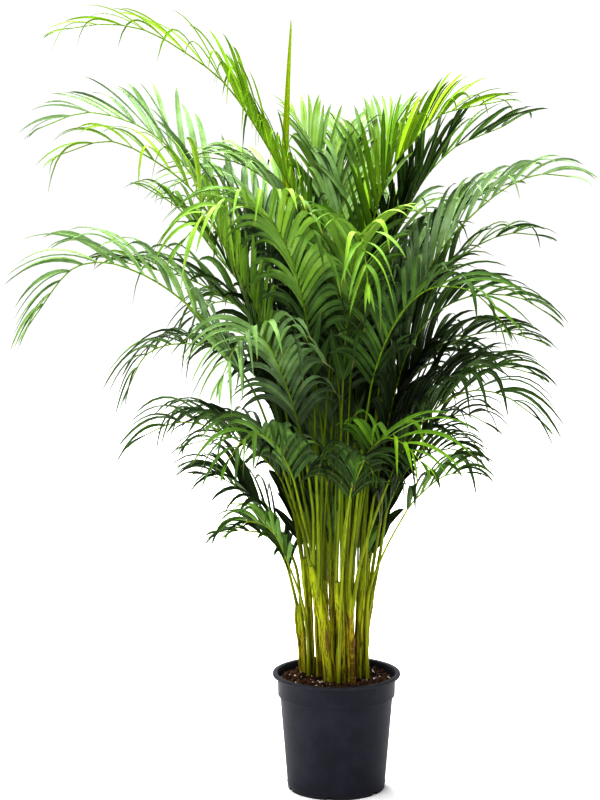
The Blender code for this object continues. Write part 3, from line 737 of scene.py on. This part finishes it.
def hang(places, leaflets, depth):
    """Lowers a frond's outer end, more the further out it is."""
    foot = places[0]
    reach = max(math.hypot(place.x - foot.x, place.y - foot.y) for place in places)
    corners = list(places)
    for leaflet in leaflets:
        corners += [leaflet.foot, leaflet.middle, leaflet.tip]
    for corner in corners:
        out = math.hypot(corner.x - foot.x, corner.y - foot.y) / reach
        corner.z -= depth * min(1.3, out) ** 1.5


def place_on_axis(leaflets, points):
    """Finds each leaflet's place along the axis and its side of it."""
    aim = points[-1] - points[0]
    flat = Vector((aim.y, -aim.x, 0.0)).normalized()
    for leaflet in leaflets:
        leaflet.at = min(range(len(points)), key=lambda n: (points[n] - leaflet.foot).length)
        reach = leaflet.tip - points[leaflet.at]
        leaflet.side = 1 if reach.dot(flat) > 0.0 else -1
        if leaflet.wide.dot(heading(points, leaflet.at, 2)) < 0.0:
            leaflet.wide = -leaflet.wide
        leaflet.foot = leaflet.foot.lerp(points[leaflet.at], 0.45)
    leaflets.sort(key=lambda one: (one.at, one.side, round(one.tip.z, 3)))


def fill_gaps(leaflets, rng):
    """Adds leaflets where two on one side stand far apart."""
    added = []
    for side in (-1, 1):
        row = sorted((one for one in leaflets if one.side == side), key=lambda one: one.at)
        for one, two in zip(row, row[1:]):
            gap = (two.foot - one.foot).length
            inner = math.hypot(one.foot.x, one.foot.y) < CORE
            if gap < (FILL_GAP * 0.5 if inner else FILL_GAP) or gap > WIDEST_GAP:
                continue
            count = max(1, round(gap / (CORE_PITCH if inner else OUTER_PITCH)) - 1)
            for extra in range(count):
                share = (extra + 1) / (count + 1)
                spread = (rng.uniform(-1, 1), rng.uniform(-1, 1), rng.uniform(-1.2, 0.8))
                added.append(one.near(two, share, Vector(spread) * SCATTER))
    return added


def end_leaflets(points, leaflets, rng):
    """The last short leaflets, which carry on past the end of the axis."""
    end = points[-1]
    way = (end - points[-4]).normalized()
    last = sorted(leaflets, key=lambda one: one.at)[-2:]
    side = way.cross(UP).normalized()
    made = []
    for turn, reach in ((-1, 1.0), (1, 0.94), (0, 0.72)):
        size = (last[0].tip - last[0].foot).length * 0.45 * reach
        aim = (way + side * turn * 0.20 + UP * rng.uniform(-0.04, 0.03)).normalized()
        tip = end + aim * size - UP * size * 0.16
        middle = end + aim * size * 0.45
        wide = side if turn == 0 else (aim.cross(UP)).normalized()
        made.append(Leaflet(end - way * 0.004, middle, tip, last[0].half * 0.8, wide))
    return made


def inner_leaflets(points, leaflets, rng):
    """Narrow leaflets low on the axis, which stand close to it and fill the middle of the plant."""
    first = sorted(leaflet.at for leaflet in leaflets)[3]
    run = round(INNER_RUN / AXIS_STEP)
    step = max(1, round(INNER_STEP / AXIS_STEP))
    size = 0.75 * max((leaflet.tip - leaflet.foot).length for leaflet in leaflets)
    made = []
    for at in range(max(2, first - run), first, step):
        foot = points[at]
        if foot.z < (FRONT_LOW if foot.y < 0.03 else INNER_LOW):
            continue
        way = heading(points, at).normalized()
        flat = Vector((foot.x, foot.y, 0.0))
        side = way.cross(flat + Vector((0.01, -0.02, 0.0))).normalized()
        for turn in (-1, 1):
            lean = rng.uniform(0.14, 0.50) * turn
            out = flat.normalized() * rng.uniform(-0.15, 0.20)
            aim = (way + side * lean + out).normalized()
            reach = size * rng.uniform(0.60, 1.0)
            middle = foot + aim * reach * 0.45
            tip = foot + (aim - UP * rng.uniform(0.00, 0.20)).normalized() * reach
            wide = aim.cross(out + UP * 0.1).normalized()
            made.append(Leaflet(foot.copy(), middle, tip, INNER_HALF, wide))
    return made


def blade_half(t):
    """Half width of a blade along its length, as a share of its widest."""
    return max(0.03, min(1.0, (t + 0.035) ** 0.42 * (1.0 - t) ** 0.72 * 2.08))


def bend_leaflet(leaflet, rng, limp):
    """Points, half widths and facings along one leaflet; limp is the share that hang over."""
    t = MIDDLE_AT
    control = leaflet.middle - leaflet.foot * (1 - t) ** 2 - leaflet.tip * t ** 2
    control = control / (2 * t * (1 - t))
    size = (leaflet.tip - leaflet.foot).length
    sag = size * rng.uniform(*SAG)
    if rng.random() < limp:
        leaflet.shorten(rng.uniform(*LIMP_REACH))
        sag = size * rng.uniform(*LIMP_SAG)
    sway = size * rng.uniform(-SWAY, SWAY)
    roll = rng.uniform(-ROLL, ROLL)
    twist = rng.uniform(-TWIST, TWIST)
    steps = [at / (LEAF_POINTS - 1) for at in range(LEAF_POINTS)]
    points = []
    for t in steps:
        point = leaflet.foot * (1 - t) ** 2 + control * 2 * t * (1 - t) + leaflet.tip * t ** 2
        point = point - UP * sag * t ** 4 + leaflet.wide * sway * math.sin(math.pi * t)
        points.append(point)
    inner = inside_crown(leaflet.middle)
    wide = leaflet.half * (OUTER_WIDTH + (INNER_WIDTH - OUTER_WIDTH) * inner)
    halves = [wide * blade_half(t) for t in steps]
    faces = []
    for at, t in enumerate(steps):
        way = heading(points, at).normalized()
        face = way.cross(leaflet.wide)
        if face.z < 0.0:
            face = -face
        face.normalize()
        turn = Matrix.Rotation(roll + twist * t ** 1.5, 3, way)
        faces.append(turn @ face)
    return points, halves, faces


def axis_radii(points):
    """A stout petiole where it leaves its sheath, which thins to a thread at the frond's end."""
    total = AXIS_STEP * len(points)
    radii = []
    for at in range(len(points)):
        gone = AXIS_STEP * at
        foot = PETIOLE_FOOT * max(0.0, 1.0 - gone / PETIOLE_RUN)
        radii.append(foot + PETIOLE - PETIOLE_LOSS * (gone / total) ** 1.2)
    return radii


def inside_crown(point):
    """1 for a leaf deep inside the crown, falling to 0 at its outside; it sets how much painted
    shade a leaflet gets, and its width.
    """
    out = math.hypot(point.x, point.y) / CROWN_REACH
    high = (point.z - CROWN_HEIGHT) / CROWN_DEPTH
    return math.exp(-out * out - high * high)


def bar_faces(points):
    """A steady sideways facing for a round bar."""
    aim = points[-1] - points[0]
    side = Vector((aim.y, -aim.x, 0.0)).normalized()
    return [side.cross(heading(points, at)).normalized() for at in range(len(points))]


def make_frond(name, node, group):
    """One frond: its axis as a tapering bar and every leaflet as a folded, arching blade."""
    number = int(name.split("_")[1])
    rng = random.Random(700 + number)
    guide = Guide(*FROND_TONE_AND_PAINTED_LIGHT[number])
    places, leaflets = read_frond(node)
    for leaflet in leaflets:
        leaflet.shorten(SHORT.get(number, REACH))
    if number in HANG:
        hang(places, leaflets, HANG[number])
    points = smooth_path(places, AXIS_STEP)
    if name == SPEAR:
        add_spear(guide, points)
    else:
        faces = bar_faces(points)
        guide.line(points, axis_radii(points), faces, BAR_KIND, rng.uniform(0.0, 0.7))
        add_young_stalk(guide, points, rng)
        add_leaflets(guide, points, leaflets, rng, number)
    values = {"Fold": FOLD, "Blade Thickness": BLADE}
    return through_nodes(guide.mesh(name), group, name + "_leaves", values, 38.0)


def add_leaflets(guide, points, leaflets, rng, number):
    """The leaflets of the solid, and those added between, beyond and below them."""
    place_on_axis(leaflets, points)
    leaflets = leaflets + fill_gaps(leaflets, rng) + end_leaflets(points, leaflets, rng)
    leaflets += inner_leaflets(points, leaflets, rng)
    for leaflet in leaflets:
        leaflet.half *= NARROW.get(number, 1.0)
        blade = bend_leaflet(leaflet, rng, LIMP.get(number, FEW_LIMP))
        # Painted shade: leaflets deep in the crown get a lower shade value, which darkens their
        # colour.
        shade = rng.random() - 1.5 * inside_crown(leaflet.middle)
        guide.line(*blade, BLADE_KIND, shade)


def add_young_stalk(guide, points, rng):
    """A slim young stalk beside the petiole, which leans into the plant and ends in a point."""
    last = next((at for at, point in enumerate(points) if point.z > YOUNG_TOP), len(points) - 1)
    high = points[last]
    if last < 12 or points[0].z > 0.5 or math.hypot(high.x, high.y) > YOUNG_REACH:
        return
    inward = Vector((points[0].x, points[0].y, 0.0)) * -1.0
    turn = rng.uniform(-1.1, 1.1)
    side = Matrix.Rotation(turn, 3, "Z") @ inward.normalized()
    line = []
    wide = []
    for at in range(0, last, 3):
        t = at / last
        line.append(points[at] + side * (0.0052 + 0.024 * t ** 1.3))
        wide.append(max(0.0005, YOUNG_RADIUS * (1.0 - t ** 3)))
    guide.line(line, wide, bar_faces(line), BAR_KIND, rng.random())


def add_spear(guide, points):
    """The unopened leaf: a thin stalk, and from it a long folded lance."""
    first = len(points) - round(SPEAR_LENGTH / AXIS_STEP)
    low = points[:first + 3]
    stalk = axis_radii(points)[:first + 3]
    guide.line(low, stalk, bar_faces(low), BAR_KIND)
    lance = points[first::2] + [points[-1]]
    count = len(lance)
    halves = []
    for at in range(count):
        t = at / (count - 1)
        swell = 0.35 + 0.65 * math.sin(math.pi / 2 * min(1.0, t / 0.35))
        halves.append(max(0.0004, SPEAR_HALF * swell * (1.0 - t ** 2.2)))
    right = Vector((0.35, -0.93, 0.0))
    left = Vector((-0.6, -0.8, 0.0))
    guide.line(lance, halves, [right] * count, BLADE_KIND, 0.7)
    inner = [point + Vector((0.0016, 0.0012, -0.004)) for point in lance]
    guide.line(inner, [half * 0.7 for half in halves], [left] * count, BLADE_KIND, 0.4)


def cane_points(node):
    """Foot and head of a cane's centre, and its radii there, from its solid's rings."""
    corners = sorted((v.co.copy() for v in node.data.vertices), key=lambda co: co.z)
    low = corners[0].z
    high = corners[-1].z
    count = max(4, round((high - low) / 0.02))
    places = []
    sizes = []
    for step in range(count + 1):
        level = low + (high - low) * step / count
        near = [co for co in corners if abs(co.z - level) < (high - low) / count * 0.6]
        if len(near) < 3:
            continue
        x = (min(co.x for co in near) + max(co.x for co in near)) / 2
        y = (min(co.y for co in near) + max(co.y for co in near)) / 2
        places.append(Vector((x, y, level)))
        sizes.append(max(Vector((co.x - x, co.y - y)).length for co in near))
    return places, sizes


def make_cane(name, node, group, rng):
    """One cane: ringed, a little uneven, wrapped in dry sheaths, closing in round its fronds."""
    places, sizes = cane_points(node)
    head = places[-1]
    lean = (places[-1] - places[-2]).normalized()
    stub = name == "cane_stub"
    rise = STUB_RISE if stub else SHEATH_RISE
    knots = places + [head + lean * rise * 0.5, head + lean * rise]
    knots[0] = knots[0] - UP * FOOT_SINK
    radii_at = sizes + [sizes[-1] * 0.95, sizes[-1] * (0.50 if stub else 0.72)]
    points = smooth_path(knots, CANE_STEP)
    spacing = rng.uniform(0.022, 0.034)
    start = rng.uniform(0.0, spacing)
    halves = []
    rings = []
    for at, point in enumerate(points):
        part = at / (len(points) - 1) * (len(radii_at) - 1)
        low = min(int(part), len(radii_at) - 2)
        size = radii_at[low] + (radii_at[low + 1] - radii_at[low]) * (part - low)
        offset = ((point.z - points[0].z + start) % spacing) / spacing
        scar = math.exp(-((offset - 0.5) * spacing / SCAR) ** 2)
        flare = 1.0 + 0.10 * max(0.0, offset - 0.5) - 0.06 * scar
        rough = 1.0 + 0.05 * noise.noise(point * 90.0)
        halves.append(size * 0.97 * flare * rough)
        rings.append(scar)
    guide = Guide()
    guide.line(points, halves, [FRONT] * len(points), BAR_KIND, rng.random(), rings)
    for _ in range(STUB_SCALES if stub else SCALES):
        add_scale(guide, points, halves, rng)
    for _ in range(0 if stub else SHOOTS):
        add_shoot(guide, points, halves, rng)
    values = {"Fold": SCALE_FOLD, "Blade Thickness": SCALE_THICK}
    return through_nodes(guide.mesh(name), group, name + "_bark", values, 40.0)


def add_shoot(guide, points, halves, rng):
    """A slim stalk which stands against the cane from the soil to its head."""
    turn = rng.uniform(0.0, math.tau)
    last = len(points) - 1
    size = rng.uniform(0.0024, 0.0034)
    lean = rng.uniform(-0.5, 0.5)
    line = []
    wide = []
    for step in range(SHOOT_POINTS):
        t = step / (SHOOT_POINTS - 1)
        at = round(last * t)
        angle = turn + lean * t
        out = Vector((math.cos(angle), math.sin(angle), 0.0))
        off = halves[at] + size * (0.55 - 0.9 * max(0.0, t - 0.8) / 0.2)
        line.append(points[at] + out * off)
        wide.append(size * (1.0 - 0.25 * t))
    guide.line(line, wide, [FRONT] * SHOOT_POINTS, BAR_KIND, rng.uniform(0.0, 0.35))


def add_scale(guide, points, halves, rng):
    """A strip of dry sheath that lies up the cane and lifts off it at its tip."""
    turn = rng.uniform(0.0, math.tau)
    out = Vector((math.cos(turn), math.sin(turn), 0.0))
    first = rng.randrange(2, max(3, int(len(points) * 0.62)))
    last = min(len(points) - 2, first + rng.randrange(9, 26))
    line = []
    wide = []
    for step in range(SCALE_POINTS):
        t = step / (SCALE_POINTS - 1)
        at = round(first + (last - first) * t)
        lift = halves[at] * 0.94 + 0.0003 + 0.0016 * t ** 3
        line.append(points[at] + out * lift)
        narrow = min(1.0, 0.25 + 3.0 * t) * (1.0 - t ** 2.0) ** 0.7
        wide.append(max(0.0004, halves[at] * 0.52 * narrow))
    guide.line(line, wide, [out] * SCALE_POINTS, BLADE_KIND, rng.random())


def arc(centre, radius, start, end, steps=CORNER_STEPS):
    """Points of an arc in the pot's profile, from one angle to another, in degrees."""
    made = []
    for step in range(steps + 1):
        angle = math.radians(start + (end - start) * step / steps)
        made.append((centre[0] + radius * math.cos(angle), centre[1] + radius * math.sin(angle)))
    return made


def pot_profile(rim, high):
    """From the inside floor's centre up the wall, over the rolled lip and down the outside."""
    collar = rim - 0.0094
    step_low = high - 0.0440
    inside = [(0.0, FLOOR_THICK), (0.0860, FLOOR_THICK)]
    inside += arc((0.0865, FLOOR_THICK + 0.003), 0.003, -80, 0)
    inside += [(0.1032, step_low - 0.002), (0.1076, step_low + 0.0035)]
    inside += [(collar - WALL, high - 0.0085)]
    lip = arc((rim - 0.0075, high - 0.0022), 0.0022, 150, 90)
    lip += arc((rim - 0.0023, high - 0.0023), 0.0023, 90, 0)
    lip += arc((rim - 0.0018, high - 0.0045), 0.0018, 0, -90)
    under = arc((collar + 0.0026, high - 0.0063 - 0.0014), 0.0014, 90, 180, 4)
    outside = [(collar + 0.0002, high - 0.012), (collar - 0.0006, step_low + 0.0026)]
    outside += arc((collar - 0.0024, step_low + 0.0020), 0.0018, 0, -90, 4)
    outside += [(0.1064, step_low + 0.0001), (0.1060, step_low - 0.0006)]
    wall_high = step_low - 0.003
    for part in (1.0, 0.75, 0.5, 0.25, 0.0):
        radius = RING_RADIUS + (SHOULDER - RING_RADIUS) * part
        outside.append((radius, RING_HEIGHT + (wall_high - RING_HEIGHT) * part))
    outside += arc((RING_RADIUS, 0.0111), 0.0008, 60, -60, 4)
    outside += [(0.0919, 0.0096), (0.0915, 0.0022)]
    outside += arc((0.0895, 0.0020), 0.0020, 0, -90, 4)
    outside += [(0.0450, 0.0), (0.0, 0.0)]
    return inside + lip + under + outside


def spun(name, profile, steps, material):
    """A turned piece: the profile carried round Z by a Screw modifier, made a plain mesh."""
    mesh = bpy.data.meshes.new(name)
    points = [(radius, 0.0, height) for radius, height in profile]
    mesh.from_pydata(points, [(at, at + 1) for at in range(len(points) - 1)], [])
    item = linked(name, mesh)
    screw = item.modifiers.new("turn", "SCREW")
    screw.angle = math.tau
    screw.steps = steps
    screw.render_steps = steps
    screw.use_merge_vertices = True
    screw.merge_threshold = 0.00005
    bake_modifiers(item)
    item.data.materials.append(material)
    return item


def notch_places(node):
    """Angles of the pot's drainage notches, read from where its bottom edge is cut."""
    total = Vector((0.0, 0.0))
    for corner in node.data.vertices:
        x, y, z = corner.co
        if 0.004 < z < 0.0065 and math.hypot(x, y) > 0.080:
            turn = math.atan2(y, x) * NOTCHES
            total += Vector((math.cos(turn), math.sin(turn)))
    first = math.atan2(total.y, total.x) / NOTCHES
    return [first + math.tau / NOTCHES * count for count in range(NOTCHES)]


def notch_block(turn):
    """A block with rounded edges, a little wider at its bottom, that cuts one notch."""
    work = bmesh.new()
    bmesh.ops.create_cube(work, size=1.0)
    for corner in work.verts:
        wide = NOTCH_TOP if corner.co.z > 0.0 else NOTCH_BOTTOM
        corner.co.x = NOTCH_OUTSIDE if corner.co.x > 0.0 else NOTCH_INSIDE
        corner.co.y = math.copysign(wide / 2, corner.co.y)
        corner.co.z = math.copysign(NOTCH_HEIGHT, corner.co.z)
    bmesh.ops.bevel(work, geom=work.edges[:], offset=0.0009, segments=2, affect="EDGES")
    bmesh.ops.rotate(work, verts=work.verts, matrix=Matrix.Rotation(turn, 3, "Z"))
    mesh = bpy.data.meshes.new("notch")
    work.to_mesh(mesh)
    work.free()
    return linked("notch", mesh)


def make_pot(node, material):
    """The pot's shell with its drainage notches cut."""
    low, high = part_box("nursery_pot")
    rim = (high[0] - low[0]) / 2
    pot = spun("pot_shell", pot_profile(rim, high[2]), POT_STEPS, material)
    blocks = [notch_block(turn) for turn in notch_places(node)]
    for block in blocks:
        cut = pot.modifiers.new("notch", "BOOLEAN")
        cut.solver = "EXACT"
        cut.object = block
    bake_modifiers(pot)
    for block in blocks:
        bpy.data.objects.remove(block)
    shade_by_angle(pot, 32.0)
    return pot


def soil_profile(low, high, edge):
    """From the middle of the surface out, down the side and back under."""
    top = high[2] - 0.0012
    made = []
    for ring in range(SOIL_RINGS + 1):
        radius = edge * ring / SOIL_RINGS
        dip = 0.0030 * max(0.0, (radius / edge - 0.80) / 0.20) ** 2
        made.append((radius, top - dip))
    made += [(edge - 0.0004, top - 0.006), (edge - 0.0008, high[2] - 0.030)]
    made += [(0.1026, high[2] - 0.034), (0.0882, low[2]), (0.0, low[2])]
    return made


def soil_tree(bed, bark, grains):
    """Roughens the bed's top and strews it with bark crumbs and white grains."""
    numbers = ("Top", "Strewn Radius", "Crumb Density", "Grain Density", "Crumb Size", "Grain Size")
    group, tree, given = new_group("potting_mix", numbers)
    place = tree.node("GeometryNodeInputPosition")
    on_top = tree.compare("GREATER_THAN", height_of(tree, place), given["Top"])
    flat = tree.vector("MULTIPLY", {0: place, 1: (1.0, 1.0, 0.0)})
    reach = tree.vector("LENGTH", {0: flat}, 1)
    clear = tree.compare("LESS_THAN", reach, given["Strewn Radius"])
    strewn_part = tree.node("FunctionNodeBooleanMath", {"operation": "AND"}, {0: on_top, 1: clear})
    bumps = tree.noise(place, 70.0, 3.0, 0.6) * 0.0085 - 0.0046
    lift = tree.node("ShaderNodeCombineXYZ", None, {2: bumps})
    rough = tree.node("GeometryNodeSetPosition", None,
                      {"Geometry": given["Geometry"], "Selection": on_top, "Offset": lift})

    def drawn(low, high, seed):
        settings = {"data_type": "FLOAT_VECTOR"}
        inputs = {0: low, 1: high, "Seed": seed}
        return tree.node("FunctionNodeRandomValue", settings, inputs)

    def strewn(name, seed, stretch, jag, material):
        settings = {"distribute_method": "RANDOM"}
        inputs = {"Mesh": rough, "Selection": strewn_part, "Seed": seed}
        inputs["Density"] = given[name + " Density"]
        points = tree.node("GeometryNodeDistributePointsOnFaces", settings, inputs)
        ball = tree.node("GeometryNodeMeshIcoSphere", None, {"Radius": 1.0, "Subdivisions": 2})
        spin = drawn((0.0, 0.0, 0.0), (6.28, 6.28, 6.28), seed + 1)
        grow = drawn((0.35, 0.35, 0.25), stretch, seed + 2)
        sized = tree.vector("SCALE", {0: grow, "Scale": given[name + " Size"]})
        placed = tree.node("GeometryNodeInstanceOnPoints", None,
                           {"Points": points, "Instance": ball, "Rotation": spin, "Scale": sized})
        real = tree.node("GeometryNodeRealizeInstances", None, {"Geometry": placed})
        where = tree.node("GeometryNodeInputPosition")
        inputs = {"Vector": where, "Scale": 420.0, "Detail": 2.0}
        chip = tree.node("ShaderNodeTexNoise", None, inputs, 1)
        chip = tree.vector("SUBTRACT", {0: chip, 1: (0.5, 0.5, 0.5)})
        chip = tree.vector("SCALE", {0: chip, "Scale": jag})
        bitten = tree.node("GeometryNodeSetPosition", None, {"Geometry": real, "Offset": chip})
        return tree.painted(bitten, material)

    crumbs = strewn("Crumb", 3, (1.5, 1.0, 0.7), 0.0030, bark)
    pearls = strewn("Grain", 11, (1.0, 1.0, 0.9), 0.0012, grains)
    tree.hand_out([tree.painted(rough, bed), crumbs, pearls])
    return group


def make_soil(bed, bark, grains):
    """The bed of potting mix, as wide as the pot's inside, with what is strewn on it."""
    low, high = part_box("soil")
    edge = (high[0] - low[0]) / 2 - 0.0002
    blank = spun("soil_blank", soil_profile(low, high, edge), SOIL_STEPS, bed)
    mesh = blank.data
    bpy.data.objects.remove(blank)
    values = {
        "Top": high[2] - 0.005, "Strewn Radius": edge - 0.0065,
        "Crumb Density": CRUMBS, "Grain Density": PERLITE,
        "Crumb Size": CRUMB_SIZE, "Grain Size": GRAIN_SIZE,
    }
    return through_nodes(mesh, soil_tree(bed, bark, grains), "potting_mix", values, 50.0)


def show(item, slot, *nodes):
    """Puts a finished piece on the body in place of its solids."""
    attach(item, "root")
    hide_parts(*nodes)


def make_floor():
    bpy.ops.mesh.primitive_plane_add(size=FLOOR_SIZE, location=(0.0, 0.0, 0.0))
    floor = bpy.context.object
    floor.name = "floor"
    floor.data.materials.append(floor_material())


def area_light(name, place, target, size, power):
    data = bpy.data.lights.new(name, "AREA")
    data.shape = "DISK"
    data.size = size
    data.energy = power
    lamp = linked(name, data)
    lamp.location = place
    aim = Vector(target) - Vector(place)
    lamp.rotation_euler = aim.to_track_quat("-Z", "Y").to_euler()


def make_studio():
    """White surroundings, and broad soft lights overhead, in front and behind."""
    world = bpy.data.worlds.new("studio")
    bpy.context.scene.world = world
    world.use_nodes = True
    back = world.node_tree.nodes["Background"]
    back.inputs["Color"].default_value = (1.0, 1.0, 1.0, 1.0)
    back.inputs["Strength"].default_value = SURROUND
    for light in LIGHTS:
        area_light(*light)


def make_camera():
    data = bpy.data.cameras.new("view")
    data.lens = LENS
    data.sensor_width = SENSOR
    camera = linked("view", data)
    camera.location = CAMERA_PLACE
    camera.rotation_euler = (math.radians(90.0 - CAMERA_DROP), 0.0, 0.0)
    bpy.context.scene.camera = camera


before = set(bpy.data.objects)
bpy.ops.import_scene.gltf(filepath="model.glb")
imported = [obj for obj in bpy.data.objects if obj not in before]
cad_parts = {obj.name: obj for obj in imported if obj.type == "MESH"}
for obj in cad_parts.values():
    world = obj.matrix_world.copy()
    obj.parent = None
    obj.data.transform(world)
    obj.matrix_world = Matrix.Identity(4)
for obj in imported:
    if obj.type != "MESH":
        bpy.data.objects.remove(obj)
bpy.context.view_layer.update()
make_camera()
make_studio()
make_floor()

leaf = leaf_material()
petiole = petiole_material()
bark = cane_material()
sheath = sheath_material()
frond_sweep = sweep_tree(leaf, petiole, AXIS_SIDES)
cane_sweep = sweep_tree(sheath, bark, CANE_SIDES)

show(make_pot(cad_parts["nursery_pot"], plastic_material()), "pot_plastic", "nursery_pot")
bed = soil_material("soil_bed", (0.005, 0.0025, 0.0015), (0.040, 0.018, 0.008), 420.0)
crumb = soil_material("bark_crumb", (0.007, 0.003, 0.0015), (0.150, 0.066, 0.028), 130.0)
show(make_soil(bed, crumb, perlite_material()), "soil", "soil")

for name, node in sorted(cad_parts.items()):
    if name.startswith("cane"):
        rng = random.Random(name)
        slot = "stub" if name == "cane_stub" else "cane"
        show(make_cane(name, node, cane_sweep, rng), slot, name)
    elif name.startswith("frond"):
        slot = "young_leaf" if name == SPEAR else "leaf"
        show(make_frond(name, node, frond_sweep), slot, name)

bpy.context.scene.view_settings.view_transform = "Standard"
bpy.context.scene.view_settings.gamma = CONTRAST
